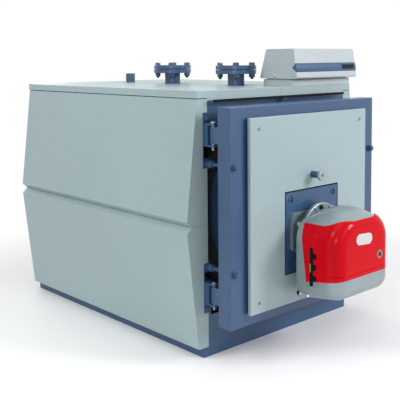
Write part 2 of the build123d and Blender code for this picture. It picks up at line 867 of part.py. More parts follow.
# Bosses on the front plate that take the door's clamp bolts
with BuildPart() as clamp_bosses:
    with BuildSketch(upright(sheet)) as boss_outline:
        with Locations(*clamp_places):
            Circle(boss_radius)
    extrude(amount=sheet - boss_front)
    chamfer(clamp_bosses.edges().group_by(Axis.Y)[0], length=boss_chamfer)
save(clamp_bosses, "clamp_bosses")

# Door frame: a deep tray, open at the back, with holes for the bolts and the burner
with BuildPart() as door_frame:
    with BuildSketch(upright(door_back)) as door_outline:
        with Locations((0, door_middle)):
            Rectangle(2 * door_half_width, door_height)
    extrude(amount=door_thickness)
    fillet(door_frame.edges().filter_by(Axis.Y), radius=door_round)
    fillet(door_frame.faces().sort_by(Axis.Y)[0].edges(), radius=door_round)
    with BuildSketch(upright(door_back)) as tray_inside:
        with Locations((0, door_middle)):
            Rectangle(2 * (door_half_width - door_wall), door_height - 2 * door_wall)
    extrude(amount=door_thickness - door_wall, mode=Mode.SUBTRACT)
    with BuildSketch(upright(door_back)) as door_holes:
        with Locations(*clamp_places):
            Circle(clamp_radius + clamp_clearance)
        with Locations((0, furnace_height)):
            Circle(blast_radius)
    extrude(amount=door_thickness, mode=Mode.SUBTRACT)
save(door_frame, "door_frame")

# Insulation slab in the tray, and the round refractory plug in the drum's mouth
with BuildPart() as door_insulation:
    with BuildSketch(upright(door_back)) as slab_outline:
        with Locations((0, door_middle)):
            Rectangle(2 * (door_half_width - door_wall), door_height - 2 * door_wall)
        with Locations(*clamp_places):
            Circle(clamp_radius + clamp_clearance, mode=Mode.SUBTRACT)
        with Locations((0, furnace_height)):
            Circle(blast_radius, mode=Mode.SUBTRACT)
    extrude(amount=door_thickness - door_wall)
save(door_insulation, "door_insulation")

with BuildPart() as door_plug:
    with BuildSketch(upright(door_back + plug_depth)) as plug_outline:
        with Locations((0, drum_height)):
            Circle(plug_radius)
        with Locations((0, furnace_height)):
            Circle(blast_radius, mode=Mode.SUBTRACT)
    extrude(amount=plug_depth)
    fillet(door_plug.edges().group_by(Axis.Y)[-1].sort_by(SortBy.RADIUS)[-1], radius=plug_round)
save(door_plug, "door_plug")

# Rope seal on the door, against the collar's rim
with BuildPart() as door_seal:
    with BuildSketch(upright(collar_front - seal_clearance)) as seal_outline:
        with Locations((0, drum_height)):
            Circle(drum_radius)
            Circle(drum_radius - 2 * drum_wall, mode=Mode.SUBTRACT)
    extrude(amount=collar_front - seal_clearance - door_back)
save(door_seal, "door_seal")

# Light casing panel on the door, cut out for the burner plate
with BuildPart() as door_casing:
    with BuildSketch(upright(door_casing_back)) as casing_outline:
        with Locations((0, (casing_top + casing_bottom) / 2)):
            Rectangle(2 * casing_half, casing_top - casing_bottom)
    extrude(amount=casing_thickness)
    fillet(door_casing.faces().sort_by(Axis.Y)[0].edges(), radius=fold_radius)
    offset(amount=-sheet, openings=door_casing.faces().sort_by(Axis.Y)[-1])
    with BuildSketch(upright(door_casing_back)) as casing_window:
        with Locations((0, furnace_height)):
            Rectangle(2 * (burner_plate_half + plate_gap), 2 * (burner_plate_half + plate_gap))
    extrude(amount=casing_thickness, mode=Mode.SUBTRACT)
save(door_casing, "door_casing")

# Studs that hold the casing panel off the door
stud_x = casing_half - stud_side
stud_heights = (casing_bottom + stud_end, casing_top - stud_end)
with BuildPart() as casing_studs:
    with BuildSketch(upright(door_front)) as stud_outline:
        with Locations(*[(side * stud_x, height) for side in (-1, 1) for height in stud_heights]):
            Circle(stud_radius)
    extrude(amount=door_front - door_casing_front - sheet)
save(casing_studs, "casing_studs")

# Clamp bolts through the door, each with its nut
with BuildPart() as clamp_bolts:
    with BuildSketch(upright(boss_front - clamp_tip_clearance)) as bolt_outline:
        with Locations(*clamp_places):
            Circle(clamp_radius)
    extrude(amount=boss_front - clamp_tip_clearance - door_front + clamp_nut_height + clamp_nut_end)
    with BuildSketch(upright(door_front)) as nut_outline:
        with Locations(*clamp_places):
            RegularPolygon(clamp_nut_flats / 2, 6, major_radius=False)
    extrude(amount=clamp_nut_height)
save(clamp_bolts, "clamp_bolts")

# Burner plate with a round recess for each bolt, and the blast tube that reaches into the furnace
burner_bolt_place = burner_plate_half - burner_bolt_edge
with BuildPart() as burner_plate:
    with BuildSketch(upright(door_front)) as burner_plate_outline:
        with Locations((0, furnace_height)):
            Rectangle(2 * burner_plate_half, 2 * burner_plate_half)
            Circle(blast_radius, mode=Mode.SUBTRACT)
    extrude(amount=burner_plate_thickness)
    with BuildSketch(upright(plate_front + burner_recess_depth)) as bolt_recesses:
        with Locations((0, furnace_height)):
            with GridLocations(2 * burner_bolt_place, 2 * burner_bolt_place, 2, 2):
                Circle(burner_recess_radius)
    extrude(amount=burner_recess_depth, mode=Mode.SUBTRACT)
save(burner_plate, "burner_plate")

with BuildPart() as blast_tube:
    with BuildSketch(upright(blast_tip)) as blast_outline:
        with Locations((0, furnace_height)):
            Circle(blast_radius)
            Circle(blast_radius - blast_wall, mode=Mode.SUBTRACT)
    extrude(amount=blast_tip - plate_front)
save(blast_tube, "blast_tube")

# Diffuser: a slotted disc across the blast tube, round the oil nozzle
with BuildPart() as diffuser:
    with BuildSketch(upright(blast_tip - diffuser_set_in)) as diffuser_outline:
        with Locations((0, furnace_height)):
            Circle(blast_radius - blast_wall)
            with PolarLocations(diffuser_slot_circle, diffuser_slots):
                SlotOverall(*diffuser_slot, mode=Mode.SUBTRACT)
    extrude(amount=diffuser_thickness)
    with BuildSketch(upright(blast_tip - diffuser_set_in)) as nozzle_outline:
        with Locations((0, furnace_height)):
            Circle(nozzle_radius)
    extrude(amount=nozzle_length)
save(diffuser, "diffuser")

# Burner mount: a tray with a raised rim, and a round flange on a neck in front of it
with BuildPart() as burner_mount:
    with BuildSketch(upright(plate_front)) as mount_outline:
        with Locations((0, furnace_height)):
            RectangleRounded(2 * mount_half_width, 2 * mount_half_height, mount_corner)
    extrude(amount=mount_thickness)
    with BuildSketch(upright(mount_front + mount_recess)) as mount_inside:
        with Locations((0, furnace_height)):
            RectangleRounded(
                2 * (mount_half_width - mount_rim),
                2 * (mount_half_height - mount_rim),
                mount_corner - mount_rim,
            )
    extrude(amount=mount_recess, mode=Mode.SUBTRACT)
save(burner_mount, "burner_mount")

burner_flange_back = burner_back + burner_flange_thickness
with BuildPart() as burner_flange:
    with BuildSketch(upright(mount_front + mount_recess)) as neck_outline:
        with Locations((0, furnace_height)):
            Circle(blast_radius)
    extrude(amount=mount_front + mount_recess - burner_flange_back)
    with BuildSketch(upright(burner_flange_back)) as burner_flange_outline:
        with Locations((0, furnace_height)):
            Circle(burner_flange_radius)
    extrude(amount=burner_flange_thickness)
    fillet(burner_flange.edges().group_by(Axis.Y)[0], radius=burner_flange_round)
    with BuildSketch(upright(burner_flange_back)) as flange_slots:
        with Locations((0, furnace_height)):
            with PolarLocations(flange_slot_circle, 2, 90 - flange_slot_angle, 4 * flange_slot_angle):
                SlotOverall(*flange_slot)
    extrude(amount=burner_flange_thickness, mode=Mode.SUBTRACT)
save(burner_flange, "burner_flange")


# The burner's outer form: a tub with rounded shoulders whose bottom rises to the front
def burner_form(inset):
    """The burner's outer form, drawn in all round by an inset."""
    crown = burner_crown - inset
    bottoms = {burner_back: burner_bottom + inset, burner_front + inset: burner_front_bottom + inset}
    with BuildPart() as form:
        for depth, bottom in bottoms.items():
            with BuildSketch(upright(depth)) as form_outline:
                with Locations((burner_shift, (crown + bottom) / 2)):
                    Rectangle(2 * (burner_half_width - inset), crown - bottom)
                fillet(form_outline.vertices().group_by(Axis.Y)[-1], radius=burner_shoulder - inset)
                fillet(form_outline.vertices().group_by(Axis.Y)[0], radius=burner_corner - inset)
        loft()
        fillet(form.faces().sort_by(Axis.Y)[0].edges(), radius=burner_round - inset)
    return form.part


def dome_plan(height):
    """The upright prism over the dome, above a height: square at the back and round at the front."""
    with BuildPart() as plan:
        with BuildSketch(level(height)) as plan_outline:
            with Locations((burner_shift, (burner_back + dome_front) / 2)):
                Rectangle(2 * dome_half_width, burner_back - dome_front)
            fillet(plan_outline.vertices().group_by(Axis.Y)[0], radius=dome_corner)
        extrude(amount=burner_crown)
    return plan.part


def dome_height(depth):
    """Height of the dome along its middle, on an arc from its back over its crown to its front."""
    half_length = (burner_back - dome_front) / 2
    rise = dome_crown - dome_end
    arc_radius = (half_length**2 + rise**2) / (2 * rise)
    reach = depth - (burner_back + dome_front) / 2
    return furnace_height + dome_crown - arc_radius + math.sqrt(arc_radius**2 - reach**2)


# Dome on the housing's back, lofted through arched sections
shoulder = furnace_height + dome_shoulder
dome_left, dome_right = burner_shift - dome_half_width, burner_shift + dome_half_width
dome_floor = furnace_height + dome_base
dome_step = (dome_front - burner_back) / (dome_sections - 1)
with BuildPart() as dome:
    for turn in range(dome_sections):
        section_depth = burner_back + dome_step * turn
        with BuildSketch(upright(section_depth)) as dome_section:
            with BuildLine():
                ThreePointArc(
                    (dome_left, shoulder), (burner_shift, dome_height(section_depth)), (dome_right, shoulder)
                )
                Polyline(
                    (dome_right, shoulder),
                    (dome_right, dome_floor),
                    (dome_left, dome_floor),
                    (dome_left, shoulder),
                )
            make_face()
    loft()
    add(dome_plan(dome_floor), mode=Mode.INTERSECT)

# Hood: a shell over the housing's front, open round the dome, with a fluting along its lower edge
with BuildPart() as hood_fluting:
    with BuildSketch(side_view(burner_left)) as fluting_outline:
        with Locations((burner_back - fluting_start, furnace_height - hood_fluting_drop)):
            Rectangle(burner_back - fluting_start - burner_front, fluting_width, align=(Align.MAX, Align.CENTER))
    extrude(amount=2 * burner_half_width)
    add(burner_form(fluting_depth), mode=Mode.SUBTRACT)

with BuildPart() as burner_hood:
    add(burner_form(0))
    add(burner_form(hood_wall), mode=Mode.SUBTRACT)
    with BuildSketch(side_view(burner_left)) as hood_side:
        with BuildLine():
            Polyline(
                (burner_back - hood_rear_low, furnace_height - hood_drop),
                (burner_back - hood_rear_top, burner_crown),
                (burner_front, burner_crown),
                (burner_front, hood_front_lip),
                close=True,
            )
        make_face()
    extrude(amount=2 * burner_half_width, mode=Mode.INTERSECT)
    add(dome_plan(dome_floor), mode=Mode.SUBTRACT)
    with BuildSketch(upright(burner_front + burner_round)) as peep_outline:
        with Locations((peep_x, furnace_height - peep_drop)):
            Circle(peep_radius)
    extrude(amount=burner_round, mode=Mode.SUBTRACT)
    add(hood_fluting.part, mode=Mode.SUBTRACT)
save(burner_hood, "burner_hood")

# Housing: the whole form with the hood's place taken out and the dome on top, and a seam down each side
seam_top = furnace_height - hood_drop + seam_width
with BuildPart() as bowl_seam:
    with BuildSketch(side_view(burner_left)) as seam_outline:
        with BuildLine():
            Polyline(
                (burner_back - hood_rear_low - seam_width, seam_top),
                (burner_back - seam_end, burner_bottom),
                (burner_back - seam_end - seam_width, burner_bottom),
                (burner_back - hood_rear_low - 2 * seam_width, seam_top),
                close=True,
            )
        make_face()
    extrude(amount=2 * burner_half_width)
    add(burner_form(seam_width), mode=Mode.SUBTRACT)

with BuildPart() as burner_body:
    add(burner_form(0))
    add(dome_plan(dome_floor), mode=Mode.SUBTRACT)
    add(dome.part)
    add(burner_hood.part, mode=Mode.SUBTRACT)
    add(hood_fluting.part, mode=Mode.SUBTRACT)
    add(bowl_seam.part, mode=Mode.SUBTRACT)
save(burner_body, "burner_body")

# Controls on the hood's left side: a strip with three knobs
controls_height = furnace_height - strip_middle
with BuildPart() as burner_controls:
    with BuildSketch(side_view(burner_left)) as strip_outline:
        with Locations((burner_back - strip_set_back, controls_height)):
            RectangleRounded(strip_width, strip_length, strip_width / 3)
    extrude(amount=-strip_stand)
    with BuildSketch(side_view(burner_left)) as knob_outline:
        with Locations((burner_back - knob_set_back, controls_height)):
            with GridLocations(1, knob_pitch, 1, 3):
                Circle(knob_radius)
    extrude(amount=-knob_stand)
save(burner_controls, "burner_controls")

# Sight glass: a tube on the door with a glass in a ring at its end
with BuildPart() as sight_tube:
    with BuildSketch(upright(door_casing_front)) as sight_outline:
        with Locations((0, sight_height)):
            Circle(sight_radius)
    extrude(amount=sight_length)
save(sight_tube, "sight_tube")

with BuildPart() as sight_glass:
    with BuildSketch(upright(door_casing_front - sight_length)) as glass_outline:
        with Locations((0, sight_height)):
            Circle(sight_ring_radius)
    extrude(amount=sight_ring_thickness)
    fillet(sight_glass.edges(), radius=sight_round)
save(sight_glass, "sight_glass")
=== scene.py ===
# %% [markdown]
# # A steel boiler in a sheet casing
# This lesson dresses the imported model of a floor-standing boiler: a drum in a folded casing, with a
# hinged door on its front and a blown burner on the door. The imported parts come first, and stay where
# they are. Each cell after that adds one finish or one kind of small piece, and says why it is made
# that way.

import json
import math

import bmesh
import bpy
from mathutils import Matrix, Vector


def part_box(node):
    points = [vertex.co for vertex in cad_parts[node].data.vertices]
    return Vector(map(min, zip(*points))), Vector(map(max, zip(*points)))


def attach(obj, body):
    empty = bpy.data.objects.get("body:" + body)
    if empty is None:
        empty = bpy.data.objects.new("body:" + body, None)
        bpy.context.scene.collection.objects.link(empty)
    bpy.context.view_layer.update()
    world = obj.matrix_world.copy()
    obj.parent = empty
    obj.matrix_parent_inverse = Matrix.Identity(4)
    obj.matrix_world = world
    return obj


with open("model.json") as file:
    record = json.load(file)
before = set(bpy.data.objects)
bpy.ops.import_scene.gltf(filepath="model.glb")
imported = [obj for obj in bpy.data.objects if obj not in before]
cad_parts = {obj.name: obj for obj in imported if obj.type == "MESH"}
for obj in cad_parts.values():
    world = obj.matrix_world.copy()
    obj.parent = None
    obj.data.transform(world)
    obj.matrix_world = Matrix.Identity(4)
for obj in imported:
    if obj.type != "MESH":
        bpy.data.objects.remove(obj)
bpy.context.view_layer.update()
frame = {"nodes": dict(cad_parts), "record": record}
nodes = frame["nodes"]

# %% [markdown]
# ## The view
# The photograph was taken from the front left, with the camera near the height of the boiler's top.
# Its upright edges stay nearly parallel, so the camera looks down by a few degrees only and its frame
# is shifted down.

# %% Camera
camera_place = Vector((-2.4100, -2.6392, 1.2032))
camera_turn = math.radians(-42.2432)
camera_down = math.radians(4.8021)
camera_roll = math.radians(-0.4764)
photo_width = 400.0
focal_pixels = 750.26

camera_data = bpy.data.cameras.new("camera")
camera = bpy.data.objects.new("camera", camera_data)
bpy.context.scene.collection.objects.link(camera)
camera_data.sensor_width = 36.0
camera_data.lens = focal_pixels / photo_width * camera_data.sensor_width
camera_data.shift_x = -0.0114
camera_data.shift_y = -0.20
camera_data.clip_end = 200.0
camera.matrix_world = (
    Matrix.Translation(camera_place)
    @ Matrix.Rotation(camera_turn, 4, "Z")
    @ Matrix.Rotation(math.pi / 2 - camera_down, 4, "X")
    @ Matrix.Rotation(camera_roll, 4, "Z")
)
bpy.context.scene.camera = camera
bpy.context.scene.view_settings.view_transform = "Standard"
print("lens", round(camera_data.lens, 1), "mm")

# %% [markdown]
# ## Shader sums
# A finish is easier to read as sums on values than as a list of nodes and links. A small class wraps a
# node's output, so that adding or multiplying two of them adds the Math node, and one method makes any
# other node.


# %% Socket wrapper and recipes
class Wire:
    """An output socket whose sums add Math nodes."""

    def __init__(self, recipe, socket):
        self.recipe = recipe
        self.socket = socket

    def __add__(self, other):
        return self.recipe.math("ADD", self, other)

    def __radd__(self, other):
        return self.recipe.math("ADD", other, self)

    def __sub__(self, other):
        return self.recipe.math("SUBTRACT", self, other)

    def __rsub__(self, other):
        return self.recipe.math("SUBTRACT", other, self)

    def __mul__(self, other):
        return self.recipe.math("MULTIPLY", self, other)

    def __rmul__(self, other):
        return self.recipe.math("MULTIPLY", other, self)

    def soft_step(self, low, high):
        """Rises from 0 at low to 1 at high, with rounded ends."""
        return self.recipe.node(
            "ShaderNodeMapRange",
            {"interpolation_type": "SMOOTHSTEP"},
            {"Value": self, "From Min": low, "From Max": high},
        )


class Recipe:
    """A node tree whose nodes come from one method."""

    def __init__(self, tree):
        self.tree = tree

    def node(self, kind, settings=None, sockets=None, output=0):
        made = self.tree.nodes.new(kind)
        for name, value in (settings or {}).items():
            setattr(made, name, value)
        for name, value in (sockets or {}).items():
            self.feed(made.inputs[name], value)
        return Wire(self, made.outputs[output])

    def math(self, operation, first, second=0.0):
        return self.node("ShaderNodeMath", {"operation": operation}, {0: first, 1: second})

    def feed(self, socket, value):
        if isinstance(value, Wire):
            self.tree.links.new(value.socket, socket)
        else:
            socket.default_value = value


class Finish(Recipe):
    """A surface material, kept under its name among the finishes."""

    def __init__(self, name):
        self.material = bpy.data.materials.new(name)
        self.material.use_nodes = True
        super().__init__(self.material.node_tree)
        self.shader = self.tree.nodes["Principled BSDF"]
        self.place = self.node("ShaderNodeTexCoord", output="Object")
        finishes[name] = self.material

    def set(self, **values):
        """Sets the shader's sockets, named with underscores for spaces."""
        for name, value in values.items():
            self.feed(self.shader.inputs[name.replace("_", " ")], value)

    def axes(self):
        """The object's own coordinates: across, behind and up."""
        return (
            self.node("ShaderNodeSeparateXYZ", {}, {"Vector": self.place}, output=number)
            for number in range(3)
        )

    def noise(self, scale, detail=2.0, roughness=0.5):
        sockets = {"Vector": self.place, "Scale": scale, "Detail": detail, "Roughness": roughness}
        return self.node("ShaderNodeTexNoise", {}, sockets)

    def mix(self, mask, first, second):
        settings = {"data_type": "RGBA"}
        return self.node("ShaderNodeMix", settings, {0: mask, 6: first, 7: second}, output=2)

    def bump(self, height, depth):
        """A Bump node whose full height stands for a depth in metres."""
        return self.node("ShaderNodeBump", {}, {"Height": height, "Distance": depth})

    def front_spot(self, middle, half_run, radius, face, tilt=0.0):
        """1 inside a round-ended outline on a front face, and 0 outside it and behind the face."""
        across, behind, height = self.axes()
        across, height = across - middle[0], height - middle[1]
        along = across * math.cos(tilt) + height * math.sin(tilt)
        aside = height * math.cos(tilt) - across * math.sin(tilt)
        past = self.math("MAXIMUM", self.math("ABSOLUTE", along) - half_run, 0.0)
        reach = self.math("SQRT", past * past + aside * aside)
        inside = reach.soft_step(radius, radius - soft_rim)
        return inside * behind.soft_step(face + 0.003, face + 0.001)


def shade(colour, factor):
    """A colour made lighter or darker, with its alpha."""
    return tuple(min(1.0, part * factor) for part in colour[:3]) + (1.0,)


soft_rim = 0.0008
finishes = {}
print("a spot's rim fades over", soft_rim * 1000, "mm")

# %% [markdown]
# ## Painted sheet steel
# The casing is folded from steel sheet and stove-enamelled, so its colour is even and its gloss is
# soft. What the eye reads as paint is the faint orange peel and the slow drift of tone over a large
# panel. Noise at several scales gives both without any image. The blue paint on the thick steel is
# smoother and has a thin clear coat.

# %% Enamelled sheets


def enamel(name, colour, roughness, peel_depth=0.00004, coat=0.0):
    """Stove enamel on sheet steel: slow drift of tone, soft gloss and orange peel."""
    paint = Finish(name)
    drift = paint.noise(1.7, detail=3.0)
    mottle = paint.noise(38.0, detail=4.0)
    tone = drift.soft_step(0.3, 0.7) * 0.7 + mottle.soft_step(0.35, 0.65) * 0.3
    peel = paint.noise(420.0, detail=1.0)
    dust = paint.noise(9.0, detail=5.0)
    paint.set(
        Base_Color=paint.mix(tone, shade(colour, 0.965), shade(colour, 1.03)),
        Roughness=roughness + dust.soft_step(0.4, 0.75) * 0.08,
        Normal=paint.bump(peel, peel_depth),
        Coat_Weight=coat,
        Coat_Roughness=0.10,
    )


light_colour = (0.330, 0.437, 0.458, 1.0)
blue_colour = (0.032, 0.082, 0.176, 1.0)
housing_colour = (0.425, 0.490, 0.510, 1.0)
enamel("light_casing", light_colour, 0.32)
enamel("blue_steel", blue_colour, 0.30, peel_depth=0.000015, coat=0.10)
enamel("panel_housing", housing_colour, 0.34)
print("enamels", sorted(finishes))

# %% [markdown]
# ## The burner's hood
# The hood is moulded in glossy red plastic, with a clear sheen over an even colour. Its blank pill lies
# flush in its front face, where a raised plate would stand out past the model, so a mask draws it in
# the finish, and the bump gives it an edge.

# %% Hood plastic
hood_colour = (0.60, 0.001, 0.008, 1.0)
pill_colour = (0.60, 0.63, 0.63, 1.0)
pill_middle = (0.003, 0.4845)
pill_half_run = 0.0295
pill_radius = 0.0225
pill_tilt = math.radians(-4.0)
pill_height = 4.0
hood_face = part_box("burner_hood")[0][1]

hood = Finish("red_hood")
hood_ripple = hood.noise(26.0, detail=1.0)
hood_tone = hood.noise(5.0, detail=2.0)
pill = hood.front_spot(pill_middle, pill_half_run, pill_radius, hood_face, pill_tilt)
hood_red = hood.mix(hood_tone.soft_step(0.3, 0.7), shade(hood_colour, 0.93), hood_colour)
hood.set(
    Base_Color=hood.mix(pill, hood_red, pill_colour),
    Roughness=0.11 + hood.noise(60.0, detail=3.0) * 0.05 + pill * 0.15,
    Specular_IOR_Level=0.10,
    Normal=hood.bump(hood_ripple + pill * pill_height, 0.00012),
)
print("hood face at", round(hood_face, 4))

# %% [markdown]
# ## The burner's casting
# The housing under the hood is an aluminium casting in silver paint: finer than bare metal, with a
# grain that shows near the highlights. Two more details lie in the finish, because they are shallow:
# fine ribs on the skirt's front, from a sine wave across it, and the peephole's ring and glass, whose
# dark colour is painted shade for the inside of the burner behind it.

# %% Silver casting
silver_colour = (0.30, 0.37, 0.39, 1.0)
# Painted shade: the peephole's glass is coloured dark for the shaded inside of the burner behind it.
peep_shade_colour = (0.030, 0.034, 0.038, 1.0)
peep_middle = (0.108, 0.405)
peep_glass_radius = 0.0120
peep_ring_radius = 0.0165
rib_pitch = 0.0145
relief_depth = 0.0025

silver = Finish("burner_casting")
silver_grain = silver.noise(650.0, detail=2.0)
silver_cloud = silver.noise(14.0, detail=3.0)
across, behind, height = silver.axes()
rib_wave = silver.math("SINE", across * (math.tau / rib_pitch))
rib_zone = across.soft_step(-0.075, -0.065) * across.soft_step(0.028, 0.018)
rib_zone = rib_zone * height.soft_step(0.255, 0.265) * height.soft_step(0.300, 0.285)
rib_zone = rib_zone * behind.soft_step(-0.80, -0.82)
# The glass mask darkens the colour as painted shade and makes the glass smoother.
peep_glass_and_shade = silver.front_spot(peep_middle, 0.0, peep_glass_radius, hood_face)
peep_ring = silver.front_spot(peep_middle, 0.0, peep_ring_radius, hood_face) * (1.0 - peep_glass_and_shade)
relief = silver_grain * 0.025 + rib_wave.soft_step(-0.2, 0.9) * rib_zone + peep_ring * 0.4
cloud = silver_cloud.soft_step(0.3, 0.7)
cast_tone = silver.mix(cloud, shade(silver_colour, 0.95), shade(silver_colour, 1.04))
silver.set(
    Base_Color=silver.mix(peep_glass_and_shade, cast_tone, peep_shade_colour),
    Metallic=0.6,
    Roughness=0.27 + silver_grain * 0.08 - peep_glass_and_shade * 0.12,
    Normal=silver.bump(relief, relief_depth),
)
print("rib pitch", rib_pitch * 1000, "mm")

# %% [markdown]
# ## Metals that are left bare
# Screws, pins and studs are zinc plated, which is bright but cloudy, and the burner's pin is chromed.
# The drum and the furnace are mill steel, darker and rougher, with scale in patches. One helper mixes
# two tones by a patchy noise for all three.

# %% Zinc, chrome and mill steel


def bare_metal(name, colour, dark, roughness, patch_scale, grain_depth):
    """A bare metal with patches of a darker tone."""
    metal = Finish(name)
    patches = metal.noise(patch_scale, detail=5.0)
    grain = metal.noise(900.0, detail=1.0)
    metal.set(
        Base_Color=metal.mix(patches.soft_step(0.4, 0.62), colour, dark),
        Metallic=1.0,
        Roughness=roughness + patches * 0.12,
        Normal=metal.bump(grain, grain_depth),
    )


bare_metal("zinc", (0.30, 0.34, 0.40, 1.0), (0.20, 0.23, 0.29, 1.0), 0.26, 55.0, 0.00003)
bare_metal("chrome", (0.80, 0.81, 0.82, 1.0), (0.74, 0.75, 0.77, 1.0), 0.06, 30.0, 0.00001)
bare_metal("boiler_steel", (0.20, 0.215, 0.235, 1.0), (0.11, 0.11, 0.12, 1.0), 0.42, 7.0, 0.0001)
print("finishes so far", len(finishes))

# %% [markdown]
# ## Insulation, seal and rubber
# Behind the casing is mineral wool under a dark facing, and behind the door a pale refractory, cast and
# dried. Both are rough all over, so their bump is coarse and nothing on them shines. Rubber is the same
# recipe with a finer lump and a weak sheen.

# %% Rough fillings


def rough_fill(name, colour, dark, scale, depth, roughness=0.9, sheen=0.5):
    """A dull, uneven material such as wool or refractory."""
    fill = Finish(name)
    lumps = fill.noise(scale, detail=6.0, roughness=0.65)
    fill.set(
        Base_Color=fill.mix(lumps.soft_step(0.35, 0.7), dark, colour),
        Roughness=roughness,
        Specular_IOR_Level=sheen,
        Normal=fill.bump(lumps, depth),
    )


rubber_colour = (0.010, 0.010, 0.011, 1.0)
rubber_dark = (0.005, 0.005, 0.006, 1.0)
rough_fill("dark_wool", (0.035, 0.037, 0.042, 1.0), (0.012, 0.012, 0.014, 1.0), 90.0, 0.002)
rough_fill("refractory", (0.62, 0.56, 0.46, 1.0), (0.42, 0.37, 0.29, 1.0), 45.0, 0.0015)
rough_fill("black_rubber", rubber_colour, rubber_dark, 160.0, 0.0002, roughness=0.5, sheen=0.08)
print("finishes so far", len(finishes))

# %% [markdown]
# ## The sight glass
# Above the burner a short tube ends in a glass disc. It is smooth and clear-coated, and dark in its
# middle, where the eye looks down the tube into its shade. The disc is opaque here, and a dark spot of
# painted shade stands for the depth behind it, because that keeps its look in an exported model too.

# %% Glass disc
glass_low, glass_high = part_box("sight_glass")
glass_middle = ((glass_low[0] + glass_high[0]) / 2, (glass_low[2] + glass_high[2]) / 2)
glass_shade_radius = 0.0065

glass = Finish("sight_glass")
glass_haze = glass.noise(80.0, detail=3.0)
# Painted shade: a dark spot in the glass's middle for the shaded depth of the tube behind it.
glass_depth_shade = glass.front_spot(glass_middle, 0.0, glass_shade_radius, glass_low[1])
glass_tone = glass.mix(glass_haze, (0.20, 0.25, 0.27, 1.0), (0.38, 0.43, 0.44, 1.0))
glass.set(
    Base_Color=glass.mix(glass_depth_shade, glass_tone, (0.02, 0.06, 0.045, 1.0)),
    Roughness=0.04 + glass_haze * 0.05,
    Coat_Weight=0.8,
)
print("glass middle", [round(part, 3) for part in glass_middle])

# %% [markdown]
# ## Blackened steel and a green mark
# Blackened screws, the dark window, which also carries a painted shadow, and the green mark are each
# too small for patterns, so a fine mottle is enough to keep them from looking flat.

# %% Small finishes


def small_finish(name, colour, roughness, sheen=0.5):
    """An even finish with a faint mottle."""
    plate = Finish(name)
    mottle = plate.noise(240.0, detail=3.0)
    plate.set(
        Base_Color=plate.mix(mottle, shade(colour, 0.93), shade(colour, 1.04)),
        Roughness=roughness + mottle * 0.08,
        Specular_IOR_Level=sheen,
    )


small_finish("black_oxide", (0.010, 0.012, 0.015, 1.0), 0.45, sheen=0.12)
small_finish("green_mark", (0.05, 0.35, 0.06, 1.0), 0.40)
print("finishes", len(finishes))

# %% [markdown]
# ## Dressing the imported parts
# The record gives each part a finish by name, so one loop can dress all of them. Only their materials
# change here: their meshes and their shading stay as they were loaded.

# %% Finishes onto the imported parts
slots = {part["node"]: part["material_slot"] for part in frame["record"]["subparts"]}
for name, node in nodes.items():
    node.data.materials.clear()
    node.data.materials.append(finishes[slots[name]])
print("dressed", len(slots), "parts in", len(set(slots.values())), "finishes")

# %% [markdown]
# ## Making small parts
# Bolts, nuts and knobs are all a few simple forms turned to face some way. Each form is a bmesh that
# starts on the ground plane and faces up: one helper spins a profile, one makes a hexagon, one a
# rounded block, and one moves a form to its place. The last gathers forms into one piece, so that a
# ring of eight bolts is one object.

# %% Forms, places and pieces
smooth_limit = math.radians(32.0)
on_plane = 1e-6


def rounded(form, edges, offset, segments=2):
    """Rounds some edges of a form."""
    bmesh.ops.bevel(
        form,
        geom=edges,
        offset=offset,
        affect="EDGES",
        segments=segments,
        profile=0.5,
        material=-1,
    )
    return form


def turned(profile, steps=32):
    """A closed form spun round the upright axis from points of radius and height."""
    form = bmesh.new()
    corners = [form.verts.new((radius, 0.0, height)) for radius, height in profile]
    lines = [form.edges.new(pair) for pair in zip(corners, corners[1:])]
    bmesh.ops.spin(
        form,
        geom=corners + lines,
        cent=(0, 0, 0),
        axis=(0, 0, 1),
        angle=math.tau,
        steps=steps,
        use_merge=True,
    )
    bmesh.ops.remove_doubles(form, verts=form.verts, dist=on_plane)
    bmesh.ops.recalc_face_normals(form, faces=form.faces)
    return form


def drum(segments, radius, height):
    """A plain drum that stands on the ground plane."""
    form = bmesh.new()
    bmesh.ops.create_cone(
        form, cap_ends=True, segments=segments, radius1=radius, radius2=radius, depth=height
    )
    bmesh.ops.translate(form, verts=form.verts, vec=(0, 0, height / 2))
    return form


def hexagon(flats, height, chamfer):
    """A hexagon head, flat below, with the edges of its top rounded over."""
    form = drum(6, flats / math.sqrt(3.0), height)
    top = height - on_plane
    rim = [edge for edge in form.edges if min(end.co.z for end in edge.verts) > top]
    return rounded(form, rim, chamfer)


def block(size, rounding, segments=3):
    """A box standing on the ground plane with all its edges rounded."""
    form = bmesh.new()
    bmesh.ops.create_cube(form, size=1.0)
    bmesh.ops.scale(form, vec=size, verts=form.verts)
    bmesh.ops.translate(form, verts=form.verts, vec=(0, 0, size[2] / 2))
    return rounded(form, form.edges[:], rounding, segments)


def put(form, place, facing=(0, 0, 1), turn=0.0):
    """Turns a form's upright axis to face some way and moves it to its place."""
    aim = Vector(facing).to_track_quat("Z", "Y").to_matrix().to_4x4()
    move = Matrix.Translation(place) @ aim @ Matrix.Rotation(turn, 4, "Z")
    bmesh.ops.transform(form, matrix=move, verts=form.verts)
    return form


def crisp(form):
    """Shades a form smooth, except over its sharp edges."""
    for face in form.faces:
        face.smooth = True
    for edge in form.edges:
        edge.smooth = edge.is_manifold and edge.calc_face_angle() < smooth_limit


def piece(name, forms, finish, body):
    """One object from several forms, with a finish, riding on a body."""
    whole = bmesh.new()
    for form in forms:
        crisp(form)
        carrier = bpy.data.meshes.new("carrier")
        form.to_mesh(carrier)
        form.free()
        whole.from_mesh(carrier)
        bpy.data.meshes.remove(carrier)
    data = bpy.data.meshes.new(name)
    whole.to_mesh(data)
    whole.free()
    data.materials.append(finishes[finish])
    made = bpy.data.objects.new(name, data)
    bpy.context.scene.collection.objects.link(made)
    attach(made, body)
    print(name, len(forms), "forms", len(data.polygons), "faces")


up, down, forward = (0, 0, 1), (0, 0, -1), (0, -1, 0)
left, right, backward = (-1, 0, 0), (1, 0, 0), (0, 1, 0)

